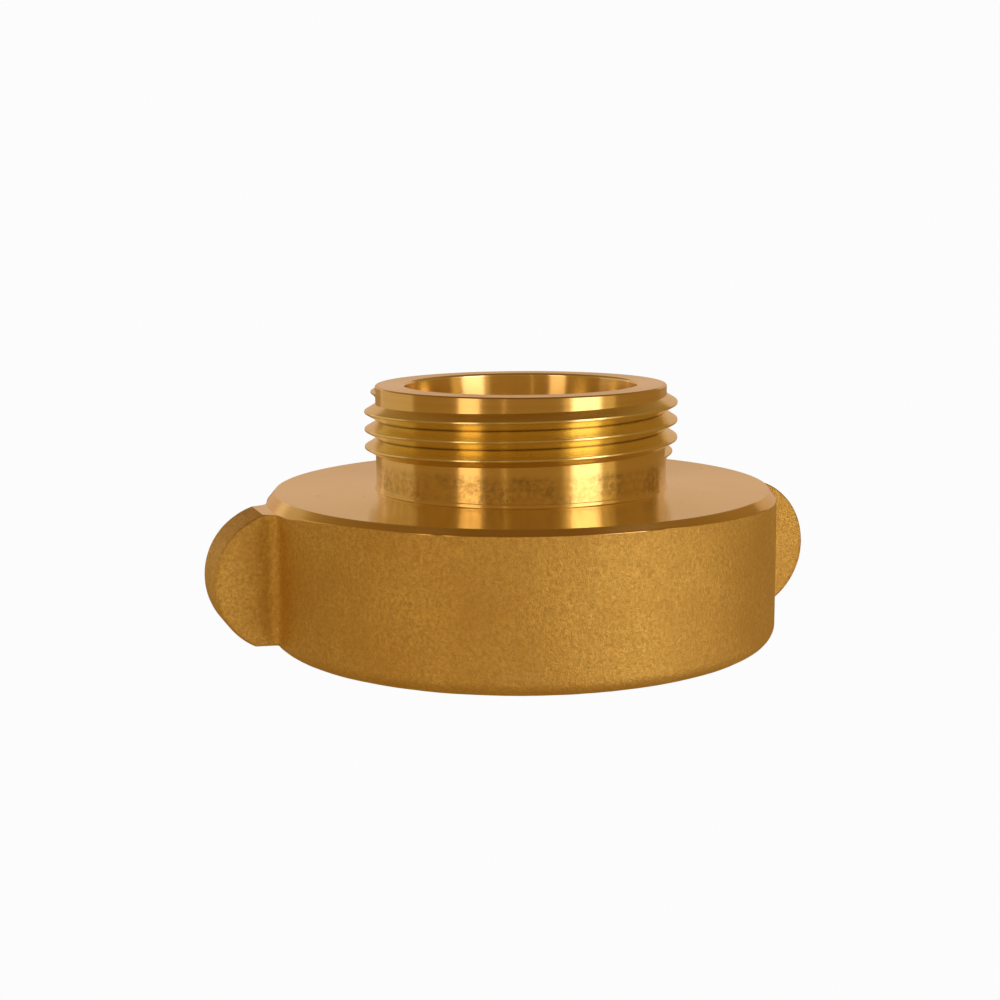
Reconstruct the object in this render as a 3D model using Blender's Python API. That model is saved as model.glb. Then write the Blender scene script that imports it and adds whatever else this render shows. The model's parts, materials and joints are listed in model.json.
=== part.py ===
"""Rocker-lug reducing adapter for fire hose: one brass casting and its rubber seat gasket.

The frame has +Z up along the bore, with the origin in the middle of the lower face and the two
lugs along X. The female end opens downward and the male end stands on top. Sizes are in metres.
"""
import math

import bmesh
import bpy

MM = 0.001
INCH = 0.0254

# Male end: 1 1/2 inch fire hose thread, 9 threads to the inch, right-handed.
MALE_PITCH = INCH / 9
MALE_CREST_RADIUS = 25.20 * MM
MALE_ROOT_RADIUS = 23.45 * MM
MALE_THREAD_FOOT = 29.25 * MM       # height where the lowest turn begins
MALE_THREAD_TURNS = 3.62
MALE_THREAD_START = -40.0           # degrees round from +X where the lowest turn begins

# Female end: 2 1/2 inch straight hose thread, 8 threads to the inch, right-handed.
FEMALE_PITCH = INCH / 8
FEMALE_ROOT_RADIUS = 36.20 * MM
FEMALE_CREST_RADIUS = 34.50 * MM
FEMALE_THREAD_FOOT = 2.20 * MM
FEMALE_THREAD_TURNS = 3.20

# Cast ring and the neck turned on it.
RING_RADIUS = 41.13 * MM
RING_HEIGHT = 24.10 * MM
RING_FOOT_ROUND = 2.60 * MM         # cast round on the lower outer edge
RING_CHAMFER_IN = 1.40 * MM         # turned chamfer on the upper outer edge
RING_CHAMFER_DOWN = 1.70 * MM
NECK_TOP = 40.70 * MM
NECK_FOOT_ROUND = 0.25 * MM
RIM_CHAMFER = 0.20 * MM             # outer edge of the rim, barely broken
BORE_RADIUS = 18.70 * MM
BORE_CHAMFER = 0.45 * MM            # inner edge of the rim

# Inside of the female end: gasket recess, flat seat and the cone that leads into the bore.
MOUTH_CHAMFER = 0.70 * MM
RECESS_RADIUS = 37.60 * MM
RECESS_FOOT = 14.30 * MM
SEAT_HEIGHT = 19.40 * MM
CONE_RADIUS = 25.00 * MM
CONE_TOP = 23.40 * MM

# Rocker lugs: half discs whose middle plane stands a little behind the bore.
LUG_RADIUS = 11.10 * MM
LUG_CENTRE_OUT = 39.75 * MM
LUG_CENTRE_UP = 11.80 * MM
LUG_THICKNESS = 9.00 * MM
LUG_OFFSET = 1.95 * MM
LUG_FILLET = 2.00 * MM
LUG_INNER_END = 39.00 * MM          # the lug is rooted this deep in the ring wall
LUG_TOP = RING_HEIGHT - RING_CHAMFER_DOWN
LUG_FOOT = 1.80 * MM                # the lowest part of each half disc is ground flat

# Gasket, clear of the recess by a thin gap all round.
GASKET_GAP = 0.30 * MM
GASKET_BORE_RADIUS = 31.50 * MM
GASKET_EDGE = 0.40 * MM

# How finely round shapes are cut up.
STEPS_PER_TURN = 56
ROUND_PIECES = 4
LUG_PIECES = 18
THREAD_OVERLAP = 0.30 * MM          # how deep a thread ridge is sunk in its wall
THREAD_FADE = 30.0                  # degrees over which a thread end rises from its wall
THREAD_END_SHARE = 0.15             # how much of its height a ridge keeps at its very end
CREST_FLAT = 0.125                  # crest width as a share of the pitch
FLANK_SLOPE = math.tan(math.radians(30.0))


def arc(centre, radius, first, last, pieces):
    """Points on an arc in a plane, from the angle first to the angle last, in degrees."""
    points = []
    for i in range(pieces + 1):
        angle = math.radians(first + (last - first) * i / pieces)
        points.append((centre[0] + radius * math.cos(angle), centre[1] + radius * math.sin(angle)))
    return points


def new_object(name, bm, smooth_below=None):
    """Turn a bmesh into a scene object with its faces pointing out."""
    bmesh.ops.recalc_face_normals(bm, faces=bm.faces)
    mesh = bpy.data.meshes.new(name)
    bm.to_mesh(mesh)
    bm.free()
    if smooth_below is not None:
        mesh.shade_smooth()
        mesh.set_sharp_from_angle(angle=math.radians(smooth_below))
    obj = bpy.data.objects.new(name, mesh)
    bpy.context.scene.collection.objects.link(obj)
    return obj


def turned_ring(name, profile):
    """Spin a closed outline of (radius, height) points about the bore."""
    bm = bmesh.new()
    corners = [bm.verts.new((radius, 0.0, height)) for radius, height in profile]
    edges = [bm.edges.new((corners[i - 1], corners[i])) for i in range(len(corners))]
    bmesh.ops.spin(bm, geom=corners + edges, cent=(0, 0, 0), axis=(0, 0, 1),
                   angle=2 * math.pi, steps=STEPS_PER_TURN, use_merge=True)
    return new_object(name, bm, smooth_below=30)


def prism(name, outline, direction):
    """Extrude a flat outline of 3-D points by a vector into a closed block."""
    bm = bmesh.new()
    face = bm.faces.new([bm.verts.new(point) for point in outline])
    grown = bmesh.ops.extrude_face_region(bm, geom=[face])
    moved = [item for item in grown["geom"] if isinstance(item, bmesh.types.BMVert)]
    bmesh.ops.translate(bm, verts=moved, vec=direction)
    return new_object(name, bm)


def thread_ridge(name, pitch, wall_radius, crest_radius, foot, turns, start):
    """Sweep the thread's ridge up a right-handed helix; each end rises slowly out of the wall."""
    outward = 1.0 if crest_radius > wall_radius else -1.0
    depth = abs(crest_radius - wall_radius)
    sunk = -THREAD_OVERLAP
    total = turns * 360.0
    stations = round(turns * STEPS_PER_TURN)
    bm = bmesh.new()
    sections = []
    for i in range(stations + 1):
        along = total * i / stations
        rise = min(1.0, along / THREAD_FADE, (total - along) / THREAD_FADE)
        height = sunk + (depth - sunk) * max(rise, THREAD_END_SHARE)
        crest = CREST_FLAT * pitch / 2
        base = crest + (height - sunk) * FLANK_SLOPE
        middle = foot + pitch * along / 360.0
        angle = math.radians(start + along)
        section = []
        for out, up in ((sunk, -base), (height, -crest), (height, crest), (sunk, base)):
            radius = wall_radius + outward * out
            point = (radius * math.cos(angle), radius * math.sin(angle), middle + up)
            section.append(bm.verts.new(point))
        sections.append(section)
    for near, far in zip(sections, sections[1:]):
        for i in range(4):
            bm.faces.new((near[i - 1], near[i], far[i], far[i - 1]))
    bm.faces.new(sections[0])
    bm.faces.new(list(reversed(sections[-1])))
    return new_object(name, bm)


def as_guide(obj):
    """Keep a shape that only feeds a Boolean out of the finished part."""
    obj.hide_render = True
    obj.display_type = "WIRE"
    return obj


def combine(obj, other, operation):
    """Add an exact Boolean to obj."""
    modifier = obj.modifiers.new(operation.title() + "_" + other.name, "BOOLEAN")
    modifier.operation = operation
    modifier.solver = "EXACT"
    modifier.object = as_guide(other)


def body_profile():
    """Outline of the casting's wall: up the outside, in over the rim and down through the bore."""
    foot_centre = (RING_RADIUS - RING_FOOT_ROUND, RING_FOOT_ROUND)
    neck_centre = (MALE_ROOT_RADIUS + NECK_FOOT_ROUND, RING_HEIGHT + NECK_FOOT_ROUND)
    outline = arc(foot_centre, RING_FOOT_ROUND, -90, 0, ROUND_PIECES)
    outline.append((RING_RADIUS, LUG_TOP))
    outline.append((RING_RADIUS - RING_CHAMFER_IN, RING_HEIGHT))
    outline += arc(neck_centre, NECK_FOOT_ROUND, -90, -180, ROUND_PIECES)
    outline.append((MALE_ROOT_RADIUS, NECK_TOP - RIM_CHAMFER))
    outline.append((MALE_ROOT_RADIUS - RIM_CHAMFER, NECK_TOP))
    outline.append((BORE_RADIUS + BORE_CHAMFER, NECK_TOP))
    outline.append((BORE_RADIUS, NECK_TOP - BORE_CHAMFER))
    outline.append((BORE_RADIUS, CONE_TOP))
    outline.append((CONE_RADIUS, SEAT_HEIGHT))
    outline.append((RECESS_RADIUS, SEAT_HEIGHT))
    outline.append((RECESS_RADIUS, RECESS_FOOT))
    outline.append((FEMALE_ROOT_RADIUS, RECESS_FOOT))
    outline.append((FEMALE_ROOT_RADIUS, MOUTH_CHAMFER))
    outline.append((FEMALE_ROOT_RADIUS + MOUTH_CHAMFER, 0.0))
    return outline


def lug_side(side):
    """The lug as seen along Y: a half disc, flat at its top and foot, rooted in the ring."""
    top_angle = math.degrees(math.asin((LUG_TOP - LUG_CENTRE_UP) / LUG_RADIUS))
    foot_angle = math.degrees(math.asin((LUG_FOOT - LUG_CENTRE_UP) / LUG_RADIUS))
    centre = (LUG_CENTRE_OUT, LUG_CENTRE_UP)
    outline = [(LUG_INNER_END, LUG_TOP)]
    outline += arc(centre, LUG_RADIUS, top_angle, foot_angle, LUG_PIECES)
    outline.append((LUG_INNER_END, LUG_FOOT))
    front = LUG_OFFSET - LUG_THICKNESS
    points = [(side * out, front, up) for out, up in outline]
    return prism("lug_outline", points, (0, 2 * LUG_THICKNESS, 0))


def lug_plan(side):
    """The lug as seen from above: flat sides that spread through fillets into the ring."""
    tip = LUG_CENTRE_OUT + LUG_RADIUS + MM
    outline = []
    for way in (-1, 1):
        face = LUG_OFFSET * way + LUG_THICKNESS / 2      # distance of this side from the X axis
        centre_off = face + LUG_FILLET
        centre_out = math.sqrt((RING_RADIUS + LUG_FILLET) ** 2 - centre_off ** 2)
        lean = math.degrees(math.atan2(centre_off, centre_out))
        curve = arc((centre_out, centre_off), LUG_FILLET, 180 + lean, 270, ROUND_PIECES)
        stretch = [(LUG_INNER_END, curve[0][1])] + curve + [(tip, face)]
        stretch = [(out, way * off) for out, off in stretch]
        outline += stretch if way < 0 else stretch[::-1]
    points = [(side * out, off, -MM) for out, off in outline]
    return prism("lug_spread", points, (0, 0, NECK_TOP))


def rocker_lug(name, side):
    lug = lug_side(side)
    lug.name = name
    combine(lug, lug_plan(side), "INTERSECT")
    return lug


def finish(obj, name, colour, metallic, roughness):
    """Give a piece its own material."""
    material = bpy.data.materials.new(name)
    material.use_nodes = True
    shader = material.node_tree.nodes["Principled BSDF"]
    shader.inputs["Base Color"].default_value = (*colour, 1.0)
    shader.inputs["Metallic"].default_value = metallic
    shader.inputs["Roughness"].default_value = roughness
    material.diffuse_color = (*colour, 1.0)
    obj.data.materials.append(material)


def adapter_body():
    body = turned_ring("adapter_body", body_profile())
    combine(body, rocker_lug("lug_right", 1), "UNION")
    combine(body, rocker_lug("lug_left", -1), "UNION")
    male = thread_ridge("male_thread", MALE_PITCH, MALE_ROOT_RADIUS, MALE_CREST_RADIUS,
                        MALE_THREAD_FOOT, MALE_THREAD_TURNS, MALE_THREAD_START)
    female = thread_ridge("female_thread", FEMALE_PITCH, FEMALE_ROOT_RADIUS, FEMALE_CREST_RADIUS,
                          FEMALE_THREAD_FOOT, FEMALE_THREAD_TURNS, 0.0)
    combine(body, male, "UNION")
    combine(body, female, "UNION")
    finish(body, "cast_brass", (0.42, 0.22, 0.045), 1.0, 0.38)


def seat_gasket():
    outer = RECESS_RADIUS - GASKET_GAP
    low = RECESS_FOOT + GASKET_GAP
    high = SEAT_HEIGHT - GASKET_GAP
    corners = [(outer, low), (outer, high), (GASKET_BORE_RADIUS, high), (GASKET_BORE_RADIUS, low)]
    inward = [(-1, 1), (-1, -1), (1, -1), (1, 1)]
    outline = []
    for (radius, height), (across, up) in zip(corners, inward):
        beside = (radius + across * GASKET_EDGE, height)
        above = (radius, height + up * GASKET_EDGE)
        outline += [beside, above] if across == -up else [above, beside]
    gasket = turned_ring("seat_gasket", outline)
    finish(gasket, "black_rubber", (0.02, 0.02, 0.02), 0.0, 0.7)


def main():
    for obj in list(bpy.data.objects):
        bpy.data.objects.remove(obj, do_unlink=True)
    adapter_body()
    seat_gasket()


main()
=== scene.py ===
# %% [markdown]
# # A rocker-lug hose adapter in cast brass
# The object joins a wide hose thread below to a narrow one above. It is one brass casting that was
# turned on a lathe where it seals or screws, and one black rubber gasket that sits inside the wide
# end. A working model of both is loaded first, and its boxes give the overall sizes. Here the same
# shape is made again as a fine mesh, because a lathe leaves crisp rounded edges and a sand mould
# leaves grain, and both need more faces than a working model holds.

import json
import math

import bmesh
import bpy
import numpy as np
from mathutils import Matrix, Vector, noise

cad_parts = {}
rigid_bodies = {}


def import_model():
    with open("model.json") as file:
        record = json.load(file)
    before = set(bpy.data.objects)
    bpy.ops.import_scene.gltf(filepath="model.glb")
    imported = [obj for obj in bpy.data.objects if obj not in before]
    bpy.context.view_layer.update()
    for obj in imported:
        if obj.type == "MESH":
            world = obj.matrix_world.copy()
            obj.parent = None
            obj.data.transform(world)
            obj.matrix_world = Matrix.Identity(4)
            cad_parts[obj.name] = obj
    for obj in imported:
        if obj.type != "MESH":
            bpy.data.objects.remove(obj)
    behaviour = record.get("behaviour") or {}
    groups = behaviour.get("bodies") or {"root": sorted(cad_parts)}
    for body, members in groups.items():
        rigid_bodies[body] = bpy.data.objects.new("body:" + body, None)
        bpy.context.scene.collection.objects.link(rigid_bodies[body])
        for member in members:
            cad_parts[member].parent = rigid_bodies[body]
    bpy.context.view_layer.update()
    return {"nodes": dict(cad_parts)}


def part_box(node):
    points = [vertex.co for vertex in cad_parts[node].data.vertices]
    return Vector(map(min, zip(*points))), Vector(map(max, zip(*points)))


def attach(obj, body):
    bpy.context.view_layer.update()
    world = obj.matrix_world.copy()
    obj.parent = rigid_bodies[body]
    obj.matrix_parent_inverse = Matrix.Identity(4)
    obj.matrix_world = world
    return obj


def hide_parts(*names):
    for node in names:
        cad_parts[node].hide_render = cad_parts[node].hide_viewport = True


for leftover in list(bpy.data.objects):
    bpy.data.objects.remove(leftover, do_unlink=True)

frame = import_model()
MM = 0.001
casting_low, casting_high = (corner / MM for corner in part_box("adapter_body"))
gasket_low, gasket_high = (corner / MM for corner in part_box("seat_gasket"))
print("casting, in mm:", [round(side, 2) for side in casting_high - casting_low])

# %% [markdown]
# ## Main sizes
# A turned part is drawn as radii and heights. The ring's radius and the neck's height come from the
# working model's box, and the rest are its own drawing sizes, in millimetres. The fine mesh follows
# the same surfaces and adds what a drawing leaves out: a tool line at the neck's foot, a bore that
# opens slightly, a wall that isn't quite upright and one lug that is a little fuller.

# %% Sizes of the casting, in millimetres
RING_RADIUS = casting_high.y
NECK_TOP = casting_high.z
RING_HEIGHT = 24.10
CHAMFER_IN = 1.40
CHAMFER_DOWN = 1.70
FOOT_ROUND = 2.60
NECK_RADIUS = 23.45
NECK_FILLET = 0.22
FOOT_STEP = 0.10                   # a tool line just above the shoulder
FOOT_STEP_TOP = 0.72
FOOT_STEP_SLOPE = 0.16
BORE_RADIUS = 18.70
FLARE_DEPTH = 4.50                 # the bore opens slightly towards the rim
FLARE_IN = 0.55
RIM_CHAMFER = 0.20
RIM_ROUND = 0.45                   # the inner edge of the rim is rounded by hand
CONE_TOP = 23.40
CONE_RADIUS = 25.00
SEAT_HEIGHT = 19.40
RECESS_RADIUS = 37.60
RECESS_FOOT = 14.30
SOCKET_RADIUS = 36.20
MOUTH_CHAMFER = 0.70

CHAMFER_RADIUS = RING_RADIUS - CHAMFER_IN
CHAMFER_FOOT = RING_HEIGHT - CHAMFER_DOWN
CHAMFER_SLOPE = CHAMFER_DOWN / CHAMFER_IN
print("ring radius", round(RING_RADIUS, 2), "neck top", round(NECK_TOP, 2))

# %% Sizes of the lugs, in millimetres
LUG_CENTRE_OUT = 39.75
LUG_CENTRE_UP = 11.80
LUG_RADIUS = 11.10
LUG_HALF = 4.50
LUG_OFFSET = 1.95                  # both lugs stand a little behind the middle of the ring
LUG_FILLET = 2.00
LUG_EDGE = 0.42                    # the cast round along the lug's rim
LUG_FOOT = 1.80                    # the lowest part of each lug is ground flat
RIGHT_LUG_SWELL = 0.35             # the right lug came out of the mould a little fuller
print("lugs reach", round(LUG_CENTRE_OUT + LUG_RADIUS, 2), "mm out")

# %% [markdown]
# ## How the mesh is laid out
# The whole casting is one closed skin of rows and columns. A column stands at one direction round
# the bore, and a row follows a line round the ring, such as the foot or a thread crest. A Boolean
# of simple solids would leave long triangles that shade badly at the fillets. With rows and columns
# each fillet gets its own even strips of faces. The columns are close together at the lugs, where
# the outline turns sharply, and a few degrees apart elsewhere.

# %% Columns round the bore
TIP_COLUMNS = 5
EDGE_COLUMNS = 9
FLANK_COLUMNS = 7
FILLET_COLUMNS = 10
WALL_STEP = math.radians(1.9)
EDGE_SPREAD = 1.6                  # close columns begin this many edge rounds before a lug's edge
EDGE_END = math.radians(0.14)
FILLET_END = math.radians(0.3)
LEAST_FLANK = 1.2                  # keeps the columns in order where a lug hardly stands out


def fillet_centre(face):
    """Where a lug side at distance face from the X axis has the centre of its root fillet."""
    off = face + LUG_FILLET
    return math.sqrt((RING_RADIUS + LUG_FILLET) ** 2 - off ** 2), off


def lug_reach(height):
    """How far out the lug's rim stands at a height."""
    rise = min(abs(height - LUG_CENTRE_UP), LUG_RADIUS)
    return LUG_CENTRE_OUT + math.sqrt(LUG_RADIUS ** 2 - rise ** 2)


def side_columns(face, reach):
    """Directions, in radians from the lug's own axis, for one side of a lug."""
    out, off = fillet_centre(face)
    reach = max(reach, out + LEAST_FLANK)
    corner = math.atan2(face, reach)
    flank_end = math.atan2(face, out)
    before = corner - EDGE_SPREAD * LUG_EDGE / reach
    after = corner + min(EDGE_END, (flank_end - corner) / 2)
    fillet_end = math.atan2(off, out) + FILLET_END
    stretches = [(0.0, before, TIP_COLUMNS), (before, after, EDGE_COLUMNS),
                 (after, flank_end, FLANK_COLUMNS), (flank_end, fillet_end, FILLET_COLUMNS)]
    steps = [np.linspace(first, last, count, endpoint=False) for first, last, count in stretches]
    return np.concatenate(steps + [[fillet_end]])


def wall_columns(width):
    """Even steps across a stretch of plain wall, without its two ends."""
    return np.linspace(0, width, round(width / WALL_STEP) + 1)[1:-1]


def columns_at(height):
    """All the directions round the bore at one height, in rising order from the right lug."""
    reach = lug_reach(height)
    near = side_columns(LUG_HALF + LUG_OFFSET, reach)
    far = side_columns(LUG_HALF - LUG_OFFSET, reach)
    back_wall = near[-1] + wall_columns(math.pi - near[-1] * 2)
    front_wall = math.pi + far[-1] + wall_columns(math.pi - far[-1] * 2)
    return np.concatenate([near, back_wall, math.pi - near[::-1], math.pi + far[1:],
                           front_wall, 2 * math.pi - far[:0:-1]])


ROUND = columns_at(0.0)
print("columns round the bore:", len(ROUND))

# %% Collecting rows into a skin
CAST, TURNED, FACED, THREADED = 0, 1, 2, 3
skin_points, skin_faces, skin_finish = [], [], []


def add_rows(radius, height, direction, finish, inside=False, seam_step=0):
    """Add a patch of rows and columns; seam_step joins a row to a later one where a helix closes."""
    radius, height, direction = np.broadcast_arrays(radius, height, direction)
    rows, columns = radius.shape
    first_point = sum(len(points) for points in skin_points)
    across = np.stack([radius * np.cos(direction), radius * np.sin(direction), height], axis=-1)
    skin_points.append(across.reshape(-1, 3))
    row = np.arange(rows - 1)[:, None]
    column = np.arange(columns)[None, :]
    beside = (column + 1) % columns
    lift = np.where(beside == 0, seam_step, 0)
    here = row * columns + column
    right = np.minimum(row + lift, rows - 1) * columns + beside
    above_right = np.minimum(row + 1 + lift, rows - 1) * columns + beside
    above = (row + 1) * columns + column
    quads = np.stack([here, right, above_right, above], axis=-1).reshape(-1, 4)
    if inside:
        quads = quads[:, ::-1]
    skin_faces.append(quads + first_point)
    skin_finish.append(np.broadcast_to(finish, (rows - 1, columns)).reshape(-1))


print("finishes of the casting:", len({CAST, TURNED, FACED, THREADED}))

# %% [markdown]
# ## The cast wall and its lugs
# The outside is as the mould left it: a ring with a round foot and two half-disc lugs that a
# spanner hooks behind. One formula says how far a point is from the surface. Joining two shapes in
# that formula can leave a round fillet between them, so the lug's root and its soft rim need no
# modelling by hand. Each column then looks along its own ray for the place where the formula
# changes sign.

# %% Lean of the wall
LEAN_FRONT = 0.62                  # how far the front of the wall leans in at its top
LEAN_BACK = 0.35
LEAN_LEFT = 0.25                   # a little more beside the left lug
LEAN_CURVE = 1.5                   # the lean grows faster than the height
LEFT_PLACE = math.radians(213)
LEFT_WIDTH = math.radians(16)
UPRIGHT_PLACE = math.radians(330)  # the front right leans least
UPRIGHT_SHARE = 0.75


def wall_lean(direction):
    """How far the wall leans in at its top, because the casting isn't quite round there."""
    front = np.clip(-np.sin(direction), 0, 1) ** 0.8
    left = np.exp(-((direction - LEFT_PLACE) / LEFT_WIDTH) ** 2)
    upright = np.clip(np.cos(direction - UPRIGHT_PLACE), 0, 1) ** 6
    back = np.clip(np.sin(direction), 0, 1)
    return LEAN_FRONT * front * (1 - UPRIGHT_SHARE * upright) + LEAN_LEFT * left + LEAN_BACK * back


def wall_radius(direction, height):
    """Radius of the cast ring, with the round at its foot and its lean."""
    low = np.clip(FOOT_ROUND - height, 0, FOOT_ROUND)
    foot = FOOT_ROUND - np.sqrt(FOOT_ROUND ** 2 - low ** 2)
    risen = np.clip(height / CHAMFER_FOOT, 0, 1) ** LEAN_CURVE
    return RING_RADIUS - foot - wall_lean(direction) * risen


print("the wall leans in by up to", round(float(wall_lean(ROUND).max()), 2), "mm")


# %% Distance from the cast surface
def both_rounded(first, second, size):
    """Distance to where two shapes overlap, with the edge between them rounded."""
    corner = np.hypot(np.maximum(first + size, 0), np.maximum(second + size, 0))
    return np.minimum(np.maximum(first, second), -size) + corner


def either_filleted(first, second, size):
    """Distance to two joined shapes, with a fillet in the corner between them."""
    corner = np.hypot(np.maximum(size - first, 0), np.maximum(size - second, 0))
    return np.maximum(np.minimum(first, second), size) - corner


def cast_distance(radius, direction, height):
    """Distance from the ring and its lugs; it is negative inside the metal."""
    out = np.abs(radius * np.cos(direction))
    off = radius * np.sin(direction)
    ring = radius - wall_radius(direction, height)
    flat_sides = np.abs(off - LUG_OFFSET) - LUG_HALF
    plan = either_filleted(ring, flat_sides, LUG_FILLET)
    swell = RIGHT_LUG_SWELL * (np.cos(direction) > 0)
    half_disc = np.hypot(out - LUG_CENTRE_OUT, height - LUG_CENTRE_UP + swell) - LUG_RADIUS - swell
    half_disc = np.maximum(half_disc, LUG_FOOT - height)
    lug = both_rounded(plan, half_disc, LUG_EDGE)
    return np.minimum(ring, lug)


def cast_radius(direction, height, halvings=34):
    """Search outwards along each ray, halving the range until it closes on the surface."""
    margin = 2.0
    inner = np.full(np.broadcast(direction, height).shape, RING_RADIUS - FOOT_ROUND - margin)
    outer = np.full_like(inner, LUG_CENTRE_OUT + LUG_RADIUS + margin)
    for _ in range(halvings):
        middle = (inner + outer) / 2
        within = cast_distance(middle, direction, height) < 0
        inner = np.where(within, middle, inner)
        outer = np.where(within, outer, middle)
    return (inner + outer) / 2


print("lug tip at", round(float(cast_radius(np.array([0.0]), np.array([LUG_CENTRE_UP]))[0]), 2))

# %% Rows of the cast wall
FOOT_ROWS = 6
LUG_ROWS = 66
LUG_ZONE = 0.965                   # cosine of the angle from a lug where the chamfer line levels out
LUG_ZONE_FADE = 0.02
lug_floor = LUG_CENTRE_UP - LUG_RADIUS
top_turn = math.acos((LUG_CENTRE_UP - CHAMFER_FOOT) / LUG_RADIUS)
foot_angles = np.linspace(0, math.acos(1 - lug_floor / FOOT_ROUND), FOOT_ROWS, endpoint=False)
foot_heights = FOOT_ROUND * (1 - np.cos(foot_angles))
wall_heights = LUG_CENTRE_UP - LUG_RADIUS * np.cos(np.linspace(0, top_turn, LUG_ROWS))
row_heights = np.concatenate([foot_heights, wall_heights])
cast_directions = np.stack([columns_at(height) for height in row_heights])

# Where the wall leans in, the chamfer cuts it higher up, so the upper rows rise to meet the cut.
cut_height = RING_HEIGHT - (RING_RADIUS - wall_lean(cast_directions) - CHAMFER_RADIUS) * CHAMFER_SLOPE
upper_part = np.clip((row_heights - LUG_CENTRE_UP) / (CHAMFER_FOOT - LUG_CENTRE_UP), 0, 1)[:, None]
risen_heights = row_heights[:, None] + upper_part * (cut_height - CHAMFER_FOOT)
near_lug = np.clip((np.abs(np.cos(cast_directions)) - LUG_ZONE) / LUG_ZONE_FADE, 0, 1)
cast_heights = risen_heights * (1 - near_lug) + row_heights[:, None] * near_lug
cast_grid = cast_radius(cast_directions, cast_heights)
add_rows(cast_grid, cast_heights, cast_directions, CAST)
print("cast wall:", cast_grid.shape, "widest", round(float(cast_grid.max()), 2))

# %% [markdown]
# ## The turned faces
# A lathe tool cut the shoulder, the neck, the bore and the seat. Each is an outline of radii and
# heights spun round the bore. Real turned corners are broken with a file or a touch of the tool,
# and that thin round is what catches the light, so every corner of the outline is eased.

# %% Easing the corners of an outline
MOST_EASED = 0.45                  # a round takes at most this share of the lines it joins


def eased(outline, size, pieces=3):
    """Replace each inner corner of an outline by a small round."""
    points = [Vector(point) for point in outline]
    result = [tuple(points[0])]
    for before, corner, after in zip(points, points[1:], points[2:]):
        back = (before - corner).normalized()
        ahead = (after - corner).normalized()
        shorter = min((before - corner).length, (after - corner).length)
        reach = min(size, shorter * MOST_EASED)
        start, end = corner + back * reach, corner + ahead * reach
        for i in range(pieces + 1):
            t = i / pieces
            middle = start * (1 - t) ** 2 + corner * (2 * t * (1 - t)) + end * t ** 2
            result.append(tuple(middle))
    result.append(tuple(points[-1]))
    return result


def quarter(centre, radius, first, last, pieces=6):
    """Points on an arc, from the angle first to the angle last, in degrees."""
    angles = np.radians(np.linspace(first, last, pieces + 1))
    return [(centre[0] + radius * math.cos(a), centre[1] + radius * math.sin(a)) for a in angles]


def add_turned(outline, finish):
    """Spin an outline of (radius, height) points round the bore."""
    outline = np.array(outline)
    add_rows(outline[:, :1], outline[:, 1:], ROUND[None, :], finish)


print("points on one eased corner:", len(eased([(0, 1), (0, 0), (1, 0)], 0.1)) - 2)

# %% Lug tops, chamfer and shoulder
EDGE_EASE = 0.10
EDGE_WIDTH = 0.30
CHAMFER_ROWS = (0.0, 0.16, 0.80, 1.0)

line_height = cast_heights[-1]
line_radius = CHAMFER_RADIUS + (RING_HEIGHT - line_height) / CHAMFER_SLOPE
add_rows(np.stack([cast_grid[-1], line_radius]), line_height[None, :], ROUND[None, :], FACED)

edge_radius = CHAMFER_RADIUS + EDGE_EASE
edge_height = RING_HEIGHT - EDGE_EASE * CHAMFER_SLOPE
up_chamfer = np.array(CHAMFER_ROWS)[:, None]
chamfer_radii = line_radius * (1 - up_chamfer) + edge_radius * up_chamfer
chamfer_heights = line_height * (1 - up_chamfer) + edge_height * up_chamfer
add_rows(chamfer_radii, chamfer_heights, ROUND[None, :], TURNED)

foot_radius = NECK_RADIUS + FOOT_STEP
neck_turn = quarter((foot_radius + NECK_FILLET, RING_HEIGHT + NECK_FILLET), NECK_FILLET, -90, -180)
shoulder_edge = [(edge_radius, edge_height), (CHAMFER_RADIUS, RING_HEIGHT),
                 (CHAMFER_RADIUS - EDGE_WIDTH, RING_HEIGHT)]
add_turned(eased(shoulder_edge, EDGE_EASE) + neck_turn[:1], FACED)
print("chamfer foot runs from", round(float(line_height.min()), 2), "to",
      round(float(line_height.max()), 2))

# %% [markdown]
# ## Threads
# A thread is a ridge that climbs one pitch for each turn. Here the rows themselves climb with it, so
# a row always runs along the crest, a flank or the root, and the crest line stays sharp with few
# faces. Rows that would leave the threaded band are held at its edge, where they lie on each other
# and are welded. The ridge sinks into the wall at both ends, as a thread does where the tool is
# drawn out.

# %% Shape of a thread
CREST_SHARE = 0.0625               # half the crest's width as a share of the pitch
FLANK_LEAN = math.tan(math.radians(30))
ROOT_DEPTH = 0.36                  # the tool's point cuts this far below the wall between turns
CREST_ROUND = 0.16
ROOT_ROUND = 0.05
BAND_EDGE = 0.25                   # the thread dies out over this height at the edge of its band
END_RISE = 6                       # how fast the ridge takes its full width at its two ends
LEAST_CUT = 0.02                   # metal moved by more than this has the cut thread's finish
MALE_THREAD = dict(pitch=25.4 / 9, root=NECK_RADIUS, crest=25.20, foot=29.25, turns=3.594,
                   start=-40.0, low=27.90, high=NECK_TOP - RIM_CHAMFER - 0.05, fade=34.0)
FEMALE_THREAD = dict(pitch=25.4 / 8, root=SOCKET_RADIUS, crest=34.50, foot=2.20, turns=3.20,
                     start=0.0, low=0.90, high=13.90, fade=30.0)


def soft_min(a, b, size):
    """The smaller of two values, with the change from one to the other rounded."""
    blend = np.clip(size - np.abs(a - b), 0, None) / size
    return np.minimum(a, b) - blend ** 2 * size / 4


def soft_max(a, b, size):
    return -soft_min(-a, -b, size)


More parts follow.
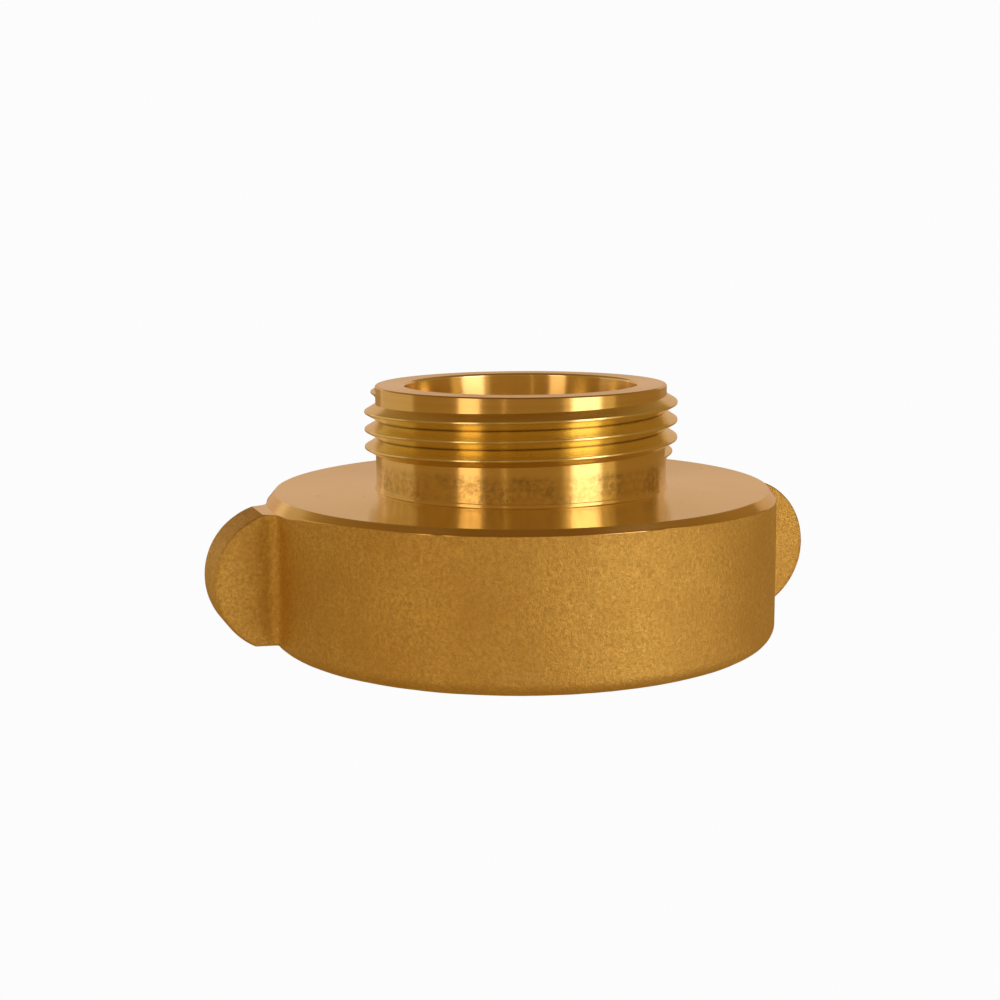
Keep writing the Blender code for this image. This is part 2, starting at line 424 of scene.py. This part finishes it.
def ridge_rows(pitch, depth):
    """Places across one pitch, in millimetres from the crest, close together at its corners."""
    crest = CREST_SHARE * pitch
    foot = crest + depth * FLANK_LEAN
    half = [0.0, crest * 0.6, crest * 1.1, crest + 0.14, (crest + foot) / 2, foot - 0.05,
            foot + 0.02, pitch / 2 - 0.05]
    return np.array(half + [pitch / 2] + [pitch - place for place in reversed(half[1:])])


def thread_strength(along, turns, fade):
    """How fully a ridge stands, from 0 to 1, at an angle along its helix in degrees."""
    strength = np.clip(np.minimum(along, turns * 360 - along) / fade, 0, 1)
    return strength * strength * (3 - 2 * strength)


print("male pitch", round(MALE_THREAD["pitch"], 3), "female pitch", FEMALE_THREAD["pitch"])


# %% Thread rows
def add_thread(pitch, root, crest, foot, turns, start, low, high, fade, inside):
    """Add the threaded band of a wall, and return how many rows it took."""
    depth = abs(crest - root)
    places = ridge_rows(pitch, depth)
    first_crest = foot - pitch * start / 360
    lowest = math.floor((low - pitch - first_crest) / pitch) - 1
    highest = math.ceil((high - first_crest) / pitch) + 1
    across = np.concatenate([places + pitch * turn for turn in range(lowest, highest)])
    turned = ROUND[None, :] / (2 * math.pi)
    height = np.clip(first_crest + across[:, None] + pitch * turned, low, high)
    place = (height - first_crest) / pitch - turned
    turn = np.round(place)
    off_crest = np.abs(place - turn) * pitch
    along = np.degrees(ROUND)[None, :] + 360 * turn - start
    strength = thread_strength(along, turns, fade)
    next_ridge = thread_strength(along + 360 * np.sign(place - turn), turns, fade)
    flank = depth * strength - (off_crest - CREST_SHARE * pitch) / FLANK_LEAN
    ridge = soft_min(flank, depth * strength, CREST_ROUND)
    rise = soft_max(ridge, -ROOT_DEPTH * strength * next_ridge, ROOT_ROUND)
    rise = rise * np.clip(strength * END_RISE, 0, 1)
    rise = rise * np.clip((high - height) / BAND_EDGE, 0, 1)
    rise = rise * np.clip((height - low) / BAND_EDGE, 0, 1)
    radius = root + rise * (1 if crest > root else -1)
    cut = np.maximum(np.abs(rise[:-1]), np.abs(rise[1:])) > LEAST_CUT
    finish = np.where(cut, THREADED, TURNED)
    add_rows(radius, height, ROUND[None, :], finish, inside=inside, seam_step=len(places))
    return len(across)


# %% [markdown]
# ## Neck, rim and inside
# From here the outline goes up the neck, over the rim, down the bore and out through the socket, so
# each patch starts where the last one ended. One long outline would do the same, but the two
# threads need rows that climb, and the rim is faced while the walls are turned.

# %% Neck and rim
TOOL_LINE_EASE = 0.05
RIM_EASE = 0.09
step_top = RING_HEIGHT + FOOT_STEP_TOP
tool_line = [neck_turn[-1], (foot_radius, step_top - FOOT_STEP_SLOPE), (NECK_RADIUS, step_top),
             (NECK_RADIUS, MALE_THREAD["low"])]
add_turned(neck_turn, TURNED)
add_turned(eased(tool_line, TOOL_LINE_EASE), TURNED)
print("male thread rows:", add_thread(**MALE_THREAD, inside=False))

rim_edge = NECK_RADIUS - RIM_CHAMFER
outer_rim = [(NECK_RADIUS, MALE_THREAD["high"]), (NECK_RADIUS, NECK_TOP - RIM_CHAMFER),
             (rim_edge, NECK_TOP), (rim_edge - EDGE_WIDTH, NECK_TOP)]
rim_turn = quarter((BORE_RADIUS + RIM_ROUND, NECK_TOP - RIM_ROUND), RIM_ROUND, 90, 180)
add_turned(eased(outer_rim, RIM_EASE), TURNED)
add_turned(outer_rim[-1:] + rim_turn, FACED)

# %% Bore, seat and socket
INSIDE_EASE = 0.20
MOUTH_EASE = 0.08
throat = BORE_RADIUS - FLARE_IN
inside_wall = [rim_turn[-1], (throat, NECK_TOP - FLARE_DEPTH), (throat, CONE_TOP),
               (CONE_RADIUS, SEAT_HEIGHT), (RECESS_RADIUS, SEAT_HEIGHT),
               (RECESS_RADIUS, RECESS_FOOT), (SOCKET_RADIUS, RECESS_FOOT),
               (SOCKET_RADIUS, FEMALE_THREAD["high"])]
add_turned(eased(inside_wall, INSIDE_EASE), TURNED)
female_rows = add_thread(**FEMALE_THREAD, inside=True)
mouth = [(SOCKET_RADIUS, FEMALE_THREAD["low"]), (SOCKET_RADIUS, MOUTH_CHAMFER),
         (SOCKET_RADIUS + MOUTH_CHAMFER, 0.0), (RING_RADIUS - FOOT_ROUND, 0.0)]
add_turned(eased(mouth, MOUTH_EASE), FACED)
print("female thread rows:", female_rows)

# %% [markdown]
# ## Closing the skin
# The patches meet point on point, so welding them gives one closed body. A print-ready mesh has
# exactly two faces at each edge, and counting the others is the quickest test.

# %% Weld and check
WELD_GAP = 0.0008                  # points nearer than this, in millimetres, become one
SHORTEST_EDGE = 0.0002
SHARP_BRASS = 44                   # degrees
SHARP_RUBBER = 40


def weld(name, points, quads, finishes=None):
    """Make one closed mesh object, in metres, from points in millimetres."""
    mesh = bpy.data.meshes.new(name)
    mesh.from_pydata((points * MM).tolist(), [], quads.tolist())
    if finishes is not None:
        mesh.polygons.foreach_set("material_index", finishes.astype(np.int32))
    obj = bpy.data.objects.new(name, mesh)
    bpy.context.scene.collection.objects.link(obj)
    bm = bmesh.new()
    bm.from_mesh(mesh)
    bmesh.ops.remove_doubles(bm, verts=bm.verts, dist=WELD_GAP * MM)
    bmesh.ops.dissolve_degenerate(bm, edges=bm.edges, dist=SHORTEST_EDGE * MM)
    open_edges = sum(1 for edge in bm.edges if len(edge.link_faces) != 2)
    print(name, "faces", len(bm.faces), "triangles",
          sum(len(face.verts) - 2 for face in bm.faces), "open edges", open_edges)
    bm.normal_update()
    bm.to_mesh(mesh)
    bm.free()
    return obj


def shade(obj, sharp_angle):
    """Shade smoothly, but keep edges that turn by more than an angle in degrees."""
    obj.data.shade_smooth()
    obj.data.set_sharp_from_angle(angle=math.radians(sharp_angle))


casting = weld("adapter_casting", np.concatenate(skin_points), np.concatenate(skin_faces),
               np.concatenate(skin_finish))

# %% [markdown]
# A sand mould is never quite flat. The cast faces get shallow waves a few millimetres long, moved
# in the mesh itself, while the turned faces keep their true shape. The grain, far finer than that,
# comes later from the material.

# %% Waves of the mould
WAVE_DEPTH = 0.035
LONG_WAVE = 210                    # waves to the metre
SHORT_WAVE = 640
SHORT_SHARE = 0.6


def roughen(obj, depth):
    """Move the cast points along their normals, and return how many moved."""
    bm = bmesh.new()
    bm.from_mesh(obj.data)
    bm.normal_update()
    moved = 0
    for vert in bm.verts:
        if all(face.material_index == CAST for face in vert.link_faces):
            swell = noise.noise(vert.co * LONG_WAVE) + SHORT_SHARE * noise.noise(vert.co * SHORT_WAVE)
            vert.co += vert.normal * depth * MM * swell
            moved += 1
    bm.to_mesh(obj.data)
    bm.free()
    return moved


print("cast points moved:", roughen(casting, WAVE_DEPTH))
shade(casting, SHARP_BRASS)

# %% [markdown]
# ## The gasket
# A moulded rubber washer lies in the recess under the seat. It is squeezed when a hose is screwed
# in. It has soft corners, two shallow sealing ribs on its lower face and a thin line of flash where
# the halves of its mould met.

# %% Outline of the gasket
GASKET_OUTER = gasket_high.y
GASKET_BORE = 31.50
GASKET_EASE = 0.38
RIB_HEIGHT = 0.22
RIB_HALF = 0.55
RIB_PLACES = (0.30, 0.68)          # shares of the way across the lower face
FLASH = 0.10


def gasket_outline():
    """Round the cross-section: top, bore with its flash, ribbed lower face, outside with its flash."""
    high = gasket_high.z
    low = gasket_low.z + RIB_HEIGHT
    middle = (gasket_low.z + high) / 2
    face = [(GASKET_OUTER, high), (GASKET_BORE, high), (GASKET_BORE, middle + FLASH),
            (GASKET_BORE - FLASH, middle), (GASKET_BORE, middle - FLASH), (GASKET_BORE, low)]
    for place in RIB_PLACES:
        centre = GASKET_BORE + (GASKET_OUTER - GASKET_BORE) * place
        face += [(centre - RIB_HALF, low), (centre, gasket_low.z), (centre + RIB_HALF, low)]
    face += [(GASKET_OUTER, low), (GASKET_OUTER, middle - FLASH),
             (GASKET_OUTER - FLASH, middle), (GASKET_OUTER, middle + FLASH)]
    return face


print("gasket", round(gasket_high.z - gasket_low.z, 2), "mm thick")

# %% Gasket
GASKET_COLUMNS = 144
outline = gasket_outline()
closed = outline[-1:] + outline + outline[:1]
section = np.array(eased(closed, GASKET_EASE, pieces=4)[1:-1])
around = np.linspace(0, 2 * math.pi, GASKET_COLUMNS, endpoint=False)
ring = np.stack([np.outer(section[:, 0], np.cos(around)), np.outer(section[:, 0], np.sin(around)),
                 np.outer(section[:, 1], np.ones(GASKET_COLUMNS))], axis=-1).reshape(-1, 3)
here = np.arange(len(ring)).reshape(-1, GASKET_COLUMNS)
below = np.roll(here, -1, axis=0)
ring_quads = np.stack([here, np.roll(here, -1, axis=1), np.roll(below, -1, axis=1), below], axis=-1)
gasket = weld("gasket_ring", ring, ring_quads.reshape(-1, 4))
shade(gasket, SHARP_RUBBER)

# %% [markdown]
# ## Materials
# All the brass is one alloy, but four finishes of it show. The cast skin is rough and sandy, with
# painted shade between its grains, the turned walls carry fine rings from the tool, the cut threads
# have painted shade in their roots, and the faced shoulder is smoother and paler. The rings are made
# by feeding a noise texture with only the radius and the height of a point. As the direction round
# the bore is left out, every mark closes into a circle.

# %% Node helpers
FIRST_COLOUR, SECOND_COLOUR, MIXED_COLOUR = 6, 7, 2


def new_material(name, metallic, colour):
    material = bpy.data.materials.new(name)
    material.use_nodes = True
    shader = material.node_tree.nodes["Principled BSDF"]
    shader.inputs["Metallic"].default_value = metallic
    shader.inputs["Base Color"].default_value = (*colour, 1)
    material.diffuse_color = (*colour, 1)
    print("material", name)
    return material, shader


def add_node(material, kind, **settings):
    node = material.node_tree.nodes.new(kind)
    for key, value in settings.items():
        setattr(node, key, value)
    return node


def join(material, source, target):
    material.node_tree.links.new(source, target)


def feed(material, sockets, values):
    """Set each socket to a number or colour, or join another node's output to it."""
    for socket, value in zip(sockets, values):
        if isinstance(value, tuple):
            socket.default_value = (*value, 1)
        elif isinstance(value, (int, float)):
            socket.default_value = value
        else:
            join(material, value, socket)


def maths(material, operation, first, second=0.0):
    node = add_node(material, "ShaderNodeMath", operation=operation)
    feed(material, node.inputs, (first, second))
    return node.outputs[0]


def product(material, first, *others):
    """Multiply values one after another."""
    for value in others:
        first = maths(material, "MULTIPLY", first, value)
    return first


def blend_colours(material, factor, first, second):
    """Mix two colours. The node has sockets for other kinds of value before its colour ones."""
    node = add_node(material, "ShaderNodeMix", data_type="RGBA")
    sockets = (node.inputs["Factor"], node.inputs[FIRST_COLOUR], node.inputs[SECOND_COLOUR])
    feed(material, sockets, (factor, first, second))
    return node.outputs[MIXED_COLOUR]


# %% Texture helpers
def spread(material, value, low, high, to_low=0.0, to_high=1.0):
    """Map a value from one range to another, held at its ends."""
    node = add_node(material, "ShaderNodeMapRange")
    ends = {"From Min": low, "From Max": high, "To Min": to_low, "To Max": to_high}
    for key, number in ends.items():
        node.inputs[key].default_value = number
    join(material, value, node.inputs["Value"])
    return node.outputs["Result"]


def mottle(material, vector, size, detail=2.0, rough=0.5):
    """Noise whose patches are about size millimetres across."""
    node = add_node(material, "ShaderNodeTexNoise")
    node.inputs["Scale"].default_value = 1 / (size * MM)
    node.inputs["Detail"].default_value = detail
    node.inputs["Roughness"].default_value = rough
    join(material, vector, node.inputs["Vector"])
    return node.outputs["Fac"]


def bump(material, height, distance, strength, under=None):
    """Relief of a depth in millimetres, laid on another relief if there is one."""
    node = add_node(material, "ShaderNodeBump")
    node.inputs["Distance"].default_value = distance * MM
    node.inputs["Strength"].default_value = strength
    join(material, height, node.inputs["Height"])
    if under is not None:
        join(material, under, node.inputs["Normal"])
    return node.outputs["Normal"]


def object_place(material):
    return add_node(material, "ShaderNodeTexCoord").outputs["Object"]


def radius_and_height(material, where):
    """How far a point is from the bore's axis, and how high it is."""
    split = add_node(material, "ShaderNodeSeparateXYZ")
    join(material, where, split.inputs[0])
    across = maths(material, "POWER", split.outputs["X"], 2.0)
    along = maths(material, "POWER", split.outputs["Y"], 2.0)
    return maths(material, "SQRT", maths(material, "ADD", across, along)), split.outputs["Z"]


def ring_place(material, radius, height):
    """A vector that is the same all round the bore."""
    rings = add_node(material, "ShaderNodeCombineXYZ")
    join(material, radius, rings.inputs["X"])
    join(material, height, rings.inputs["Z"])
    return rings.outputs[0]


def along_tool_marks(material, shader, amount):
    """Stretch the highlight across the rings that the tool left, which run round the bore."""
    tangent = add_node(material, "ShaderNodeTangent", direction_type="RADIAL", axis="Z")
    join(material, tangent.outputs["Tangent"], shader.inputs["Tangent"])
    shader.inputs["Anisotropic"].default_value = amount
    shader.inputs["Anisotropic Rotation"].default_value = 0.25


# %% [markdown]
# The sand's grain could be modelled as real bumps, but grains of half a millimetre would need
# millions of faces, so a bump pattern does it. The skin is built from four sizes of noise. Patches
# of nearly a centimetre are where the alloy is a little deeper in colour, the grain is the sand and
# carries painted shade that darkens the colour between its grains, the glitter is single shiny
# points, and the pits are small hollows.

# %% Cast skin
BRASS = (0.88, 0.69, 0.20)
BRASS_DEEP = (0.77, 0.55, 0.145)
# painted shade: the darker colour given to the hollows between the sand's grains
BRASS_GRAIN_SHADE = (0.66, 0.47, 0.13)


def cast_finish():
    material, shader = new_material("brass_cast_skin", 1.0, BRASS)
    where = object_place(material)
    patches = mottle(material, where, 9.0, 3.0)
    grain = mottle(material, where, 0.60, 5.0, 0.72)
    glitter = mottle(material, where, 0.17, 0.0)
    pits = mottle(material, where, 1.5, 1.0)
    tone = blend_colours(material, spread(material, patches, 0.35, 0.68), BRASS_DEEP, BRASS)
    # Painted shade: where the grain noise is low, which the bump also makes hollow, the colour
    # darkens.
    grain_unshaded = spread(material, grain, 0.38, 0.66)
    skin = blend_colours(material, grain_unshaded, BRASS_GRAIN_SHADE, tone)
    join(material, skin, shader.inputs["Base Color"])
    matt = spread(material, grain, 0.3, 0.7, 0.68, 0.54)
    spark = spread(material, glitter, 0.58, 0.72, 0.0, 0.27)
    join(material, maths(material, "SUBTRACT", matt, spark), shader.inputs["Roughness"])
    grit = maths(material, "ADD", grain, product(material, glitter, 0.35))
    sand = bump(material, grit, 0.15, 0.9)
    hollows = bump(material, spread(material, pits, 0.25, 0.36), 0.08, 0.5, under=sand)
    join(material, hollows, shader.inputs["Normal"])
    return material


casting.data.materials.append(cast_finish())

# %% [markdown]
# The turned walls are bright, but the band of neck between the shoulder and the thread is where
# fingers and water leave brown tarnish. It could be painted on by hand. Here it shows where three
# masks overlap, so that it moves with the neck if a size changes: broad patches, small blots inside
# them, and the heights of that band.

# %% Turned walls
TURNED_TONES = ((0.83, 0.61, 0.21), (0.90, 0.69, 0.27))
TARNISH = (0.44, 0.33, 0.12)
TARNISH_LOW = (24.4, 25.0)         # heights in millimetres between which the tarnish comes and goes
TARNISH_HIGH = (29.3, 28.3)


def turned_finish():
    material, shader = new_material("brass_turned_wall", 1.0, BRASS)
    where = object_place(material)
    radius, height = radius_and_height(material, where)
    rings = ring_place(material, radius, height)
    marks = mottle(material, rings, 0.22, 2.0, 0.6)
    bands = mottle(material, rings, 1.3, 2.0)
    patches = spread(material, mottle(material, where, 6.0, 2.0), 0.42, 0.58, 0.45, 1)
    blots = spread(material, mottle(material, where, 0.9, 5.0, 0.75), 0.40, 0.58)
    below_thread = spread(material, height, *(MM * limit for limit in TARNISH_HIGH))
    above_ring = spread(material, height, *(MM * limit for limit in TARNISH_LOW))
    tarnish = product(material, patches, blots, product(material, below_thread, above_ring))
    fresh = blend_colours(material, spread(material, bands, 0.3, 0.7), *TURNED_TONES)
    dull = blend_colours(material, product(material, tarnish, 0.75), fresh, TARNISH)
    join(material, dull, shader.inputs["Base Color"])
    smooth = spread(material, bands, 0.3, 0.7, 0.18, 0.22)
    rough = maths(material, "ADD", smooth, product(material, tarnish, 0.07))
    join(material, rough, shader.inputs["Roughness"])
    join(material, bump(material, marks, 0.006, 0.8), shader.inputs["Normal"])
    along_tool_marks(material, shader, 0.85)
    return material


# %% [markdown]
# A cut thread is bright on its flanks, and its roots get painted shade, a darker colour where the
# grooves lie in shade. The faces of the root could have a darker finish of their own, but its border
# would be a hard line. The distance from the bore's axis says how deep a point lies, so the painted
# shade fades in by itself.

# %% Cut threads
THREAD_TONES = ((0.90, 0.75, 0.32), (0.95, 0.84, 0.40))
CHIP = (0.50, 0.30, 0.08)
# painted shade for the thread roots, darker where a root lies deeper
ROOT_SHADE = (0.20, 0.10, 0.03)
ROOT_SHADE_DEPTHS = (0.34, 0.10)        # below the neck's wall: full painted shade, and none
ROOT_SHADE_END = (0.8, 0.7)             # deeper than any root, so that the bore gets no painted shade


def thread_finish():
    material, shader = new_material("brass_cut_thread", 1.0, BRASS)
    where = object_place(material)
    radius, height = radius_and_height(material, where)
    marks = mottle(material, ring_place(material, radius, height), 0.16, 2.0, 0.6)
    nicks = mottle(material, where, 0.45, 1.0)
    base = blend_colours(material, spread(material, marks, 0.3, 0.7), *THREAD_TONES)
    nicked = spread(material, nicks, 0.22, 0.27, 1, 0)
    chipped = blend_colours(material, nicked, base, CHIP)
    # Painted shade: the colour darkens towards the bottom of each root of the neck's thread.
    full, shade_free = ((NECK_RADIUS - depth) * MM for depth in ROOT_SHADE_DEPTHS)
    deep = spread(material, radius, full, shade_free, 1, 0)
    outside = spread(material, radius, *((NECK_RADIUS - depth) * MM for depth in ROOT_SHADE_END))
    root_shaded = blend_colours(material, product(material, deep, outside, 0.62), chipped, ROOT_SHADE)
    join(material, root_shaded, shader.inputs["Base Color"])
    join(material, spread(material, marks, 0.3, 0.7, 0.18, 0.24), shader.inputs["Roughness"])
    join(material, bump(material, marks, 0.005, 0.8), shader.inputs["Normal"])
    along_tool_marks(material, shader, 0.8)
    return material


# %% [markdown]
# The shoulder, the rim and the lug tops are cut across the bore, which leaves a finer mark than
# turning a wall does. They could share the turned finish, but they look like satin and are paler,
# and a few brown specks show where the casting was slightly porous.

# %% Faced shoulder and rim
FACED_TONES = ((0.92, 0.78, 0.40), (0.96, 0.84, 0.47))
SPECK = (0.50, 0.36, 0.16)


def faced_finish():
    material, shader = new_material("brass_faced_shoulder", 1.0, BRASS)
    where = object_place(material)
    radius, height = radius_and_height(material, where)
    marks = mottle(material, ring_place(material, radius, height), 0.30, 2.0, 0.6)
    haze = mottle(material, where, 7.0, 3.0)
    spots = mottle(material, where, 0.8, 1.0)
    base = blend_colours(material, spread(material, haze, 0.3, 0.7), *FACED_TONES)
    spotted = spread(material, spots, 0.21, 0.28, 1, 0)
    join(material, blend_colours(material, spotted, base, SPECK), shader.inputs["Base Color"])
    join(material, spread(material, haze, 0.3, 0.7, 0.15, 0.21), shader.inputs["Roughness"])
    join(material, bump(material, marks, 0.003, 0.7), shader.inputs["Normal"])
    along_tool_marks(material, shader, 0.75)
    return material


for finish in (turned_finish(), faced_finish(), thread_finish()):
    casting.data.materials.append(finish)

# %% [markdown]
# New rubber is nearly black. A thin bloom of wax comes to its surface in patches, which are greyer
# and duller.

# %% Rubber
RUBBER = (0.018, 0.020, 0.026)
RUBBER_TONES = ((0.014, 0.016, 0.022), (0.042, 0.048, 0.060))


def rubber_finish():
    material, shader = new_material("black_rubber", 0.0, RUBBER)
    where = object_place(material)
    bloom = mottle(material, where, 4.0, 4.0)
    grain = mottle(material, where, 0.25, 2.0)
    tone = blend_colours(material, spread(material, bloom, 0.4, 0.7), *RUBBER_TONES)
    join(material, tone, shader.inputs["Base Color"])
    join(material, spread(material, bloom, 0.3, 0.7, 0.55, 0.72), shader.inputs["Roughness"])
    join(material, bump(material, grain, 0.02, 0.6), shader.inputs["Normal"])
    return material


gasket.data.materials.append(rubber_finish())

# %% [markdown]
# ## Taking the place of the working model
# Each fine piece rides on the one body of the model and stands in for its working piece. The working
# piece gets the same finish, so that it looks right if it is ever shown.

# %% Fix the pieces to the frame
for piece, node_name, slot_name in ((casting, "adapter_body", "brass"),
                                    (gasket, "seat_gasket", "rubber")):
    working_materials = frame["nodes"][node_name].data.materials
    working_materials.clear()
    working_materials.append(piece.data.materials[0])
    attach(piece, "root")
    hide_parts(node_name)

# %% [markdown]
# ## Floor, backdrop and light
# Polished brass shows the room more than itself. Two tall soft boxes, one each side of the camera,
# give the two upright glints on the neck, and a slit nearly in front gives a thin one between them.
# A wide dim panel behind the right box softens its edges and lights the right of the ring. A card
# at the left and one behind give the shoulder and the neck's left edge their sheen, and a dim warm
# room fills the rest. The floor and the backdrop are seen by the camera only, so that they stay
# white without washing out the metal.

# %% Camera
CAMERA_TURN = math.radians(-21.05)     # round the object, from its front
CAMERA_BACK = 0.25799
CAMERA_UP = 0.064453
CAMERA_PAN = 0.0133065
CAMERA_TILT = math.radians(90) - 0.164449
CAMERA_ROLL = -0.0066495

view_turn = Matrix.Rotation(CAMERA_TURN, 4, "Z")
stand = Matrix.Translation(Vector((0, -CAMERA_BACK, CAMERA_UP)))
aim = (Matrix.Rotation(CAMERA_PAN, 4, "Z") @ Matrix.Rotation(CAMERA_TILT, 4, "X")
       @ Matrix.Rotation(CAMERA_ROLL, 4, "Z"))
lens = bpy.data.cameras.new("camera")
lens.lens = 57.74
lens.sensor_width = 36
lens.clip_start = 0.01
lens.clip_end = 50
camera = bpy.data.objects.new("camera", lens)
camera.matrix_world = view_turn @ stand @ aim
bpy.context.scene.collection.objects.link(camera)
bpy.context.scene.camera = camera
bpy.context.scene.view_settings.view_transform = "Standard"
print("camera at", [round(place, 3) for place in camera.matrix_world.translation])

# %% Stage
WHITE = (1, 1, 1)
STAGE_GLOW = 0.975
FLOOR_RADIUS = 4.0
FLOOR_DROP = 0.0002
BACKDROP_RADIUS = 5.0


def emission(name, colour, strength):
    material = bpy.data.materials.new(name)
    material.use_nodes = True
    tree = material.node_tree
    tree.nodes.clear()
    glow = tree.nodes.new("ShaderNodeEmission")
    glow.inputs["Color"].default_value = (*colour, 1)
    glow.inputs["Strength"].default_value = strength
    out = tree.nodes.new("ShaderNodeOutputMaterial")
    tree.links.new(glow.outputs[0], out.inputs["Surface"])
    return material


def stage_mesh(name, bm):
    """A glowing surface that only the camera sees."""
    mesh = bpy.data.meshes.new(name)
    bm.to_mesh(mesh)
    bm.free()
    mesh.materials.append(emission("pale_" + name, WHITE, STAGE_GLOW))
    obj = bpy.data.objects.new(name, mesh)
    bpy.context.scene.collection.objects.link(obj)
    obj.visible_glossy = False
    obj.visible_diffuse = False
    obj.visible_shadow = False
    return obj


floor_bm = bmesh.new()
bmesh.ops.create_circle(floor_bm, cap_ends=True, radius=FLOOR_RADIUS, segments=96)
floor = stage_mesh("floor", floor_bm)
floor.location.z = -FLOOR_DROP
dome_bm = bmesh.new()
bmesh.ops.create_uvsphere(dome_bm, u_segments=48, v_segments=24, radius=BACKDROP_RADIUS)
backdrop = stage_mesh("backdrop", dome_bm)
print("stage:", floor.name, "and", backdrop.name)

# %% Soft boxes
AIM_HEIGHT = 0.022
LIGHT_DISTANCE = 1.0
SOFT_BOXES = (                     # azimuth, elevation, width, height, brightness, colour
    ("left_soft_box", -39.6, 0, 0.30, 1.4, 1.24, (1.0, 0.72, 0.54)),
    ("right_soft_box", 51.4, 0, 0.43, 1.4, 1.68, (1.0, 0.83, 0.86)),
    ("right_panel", 55, 0, 0.81, 1.4, 0.36, (1.0, 0.78, 0.42)),
    ("front_slit", -12.4, 0, 0.012, 1.4, 1.1, (1.0, 0.75, 0.45)),
    ("left_card", -116.2, 5, 0.967, 0.8, 0.25, (1.0, 0.88, 0.75)),
    ("back_card", 181, 10, 1.85, 0.5, 0.30, (1.0, 0.747, 0.69)))


def towards(azimuth, elevation, distance):
    """A point as seen from the object: azimuth 0 is at the camera, and rises to its right."""
    a, e = math.radians(azimuth), math.radians(elevation)
    local = Vector((math.sin(a) * math.cos(e), -math.cos(a) * math.cos(e), math.sin(e))) * distance
    return view_turn @ local + Vector((0, 0, AIM_HEIGHT))


def soft_box(name, azimuth, elevation, width, height, brightness, colour):
    """An area light that faces the object, with a power that gives its surface the brightness."""
    light = bpy.data.lights.new(name, "AREA")
    light.shape = "RECTANGLE"
    light.size = width
    light.size_y = height
    light.energy = brightness * math.pi * width * height
    light.color = colour
    obj = bpy.data.objects.new(name, light)
    obj.location = towards(azimuth, elevation, LIGHT_DISTANCE)
    facing = Vector((0, 0, AIM_HEIGHT)) - obj.location
    obj.rotation_euler = facing.to_track_quat("-Z", "Y").to_euler()
    obj.visible_camera = False
    bpy.context.scene.collection.objects.link(obj)
    print(name, "power", round(light.energy, 2))


for box in SOFT_BOXES:
    soft_box(*box)

# %% Room
ROOM_GLOW = 0.327
EYE_LEVEL = (0.45, (1.0, 0.56, 0.19, 1))
OVERHEAD = (0.90, (0.56, 0.27, 0.07, 1))


def surround():
    """A dim warm room that is darker overhead than at eye level."""
    world = bpy.data.worlds.new("surround")
    world.use_nodes = True
    tree = world.node_tree
    direction = tree.nodes.new("ShaderNodeTexCoord")
    split = tree.nodes.new("ShaderNodeSeparateXYZ")
    ramp = tree.nodes.new("ShaderNodeValToRGB")
    tree.links.new(direction.outputs["Generated"], split.inputs[0])
    tree.links.new(split.outputs["Z"], ramp.inputs["Fac"])
    for stop, (place, colour) in zip(ramp.color_ramp.elements, (EYE_LEVEL, OVERHEAD)):
        stop.position = place
        stop.color = colour
    tree.links.new(ramp.outputs["Color"], tree.nodes["Background"].inputs["Color"])
    tree.nodes["Background"].inputs["Strength"].default_value = ROOM_GLOW
    return world


bpy.context.scene.world = surround()
print("room:", bpy.context.scene.world.name)
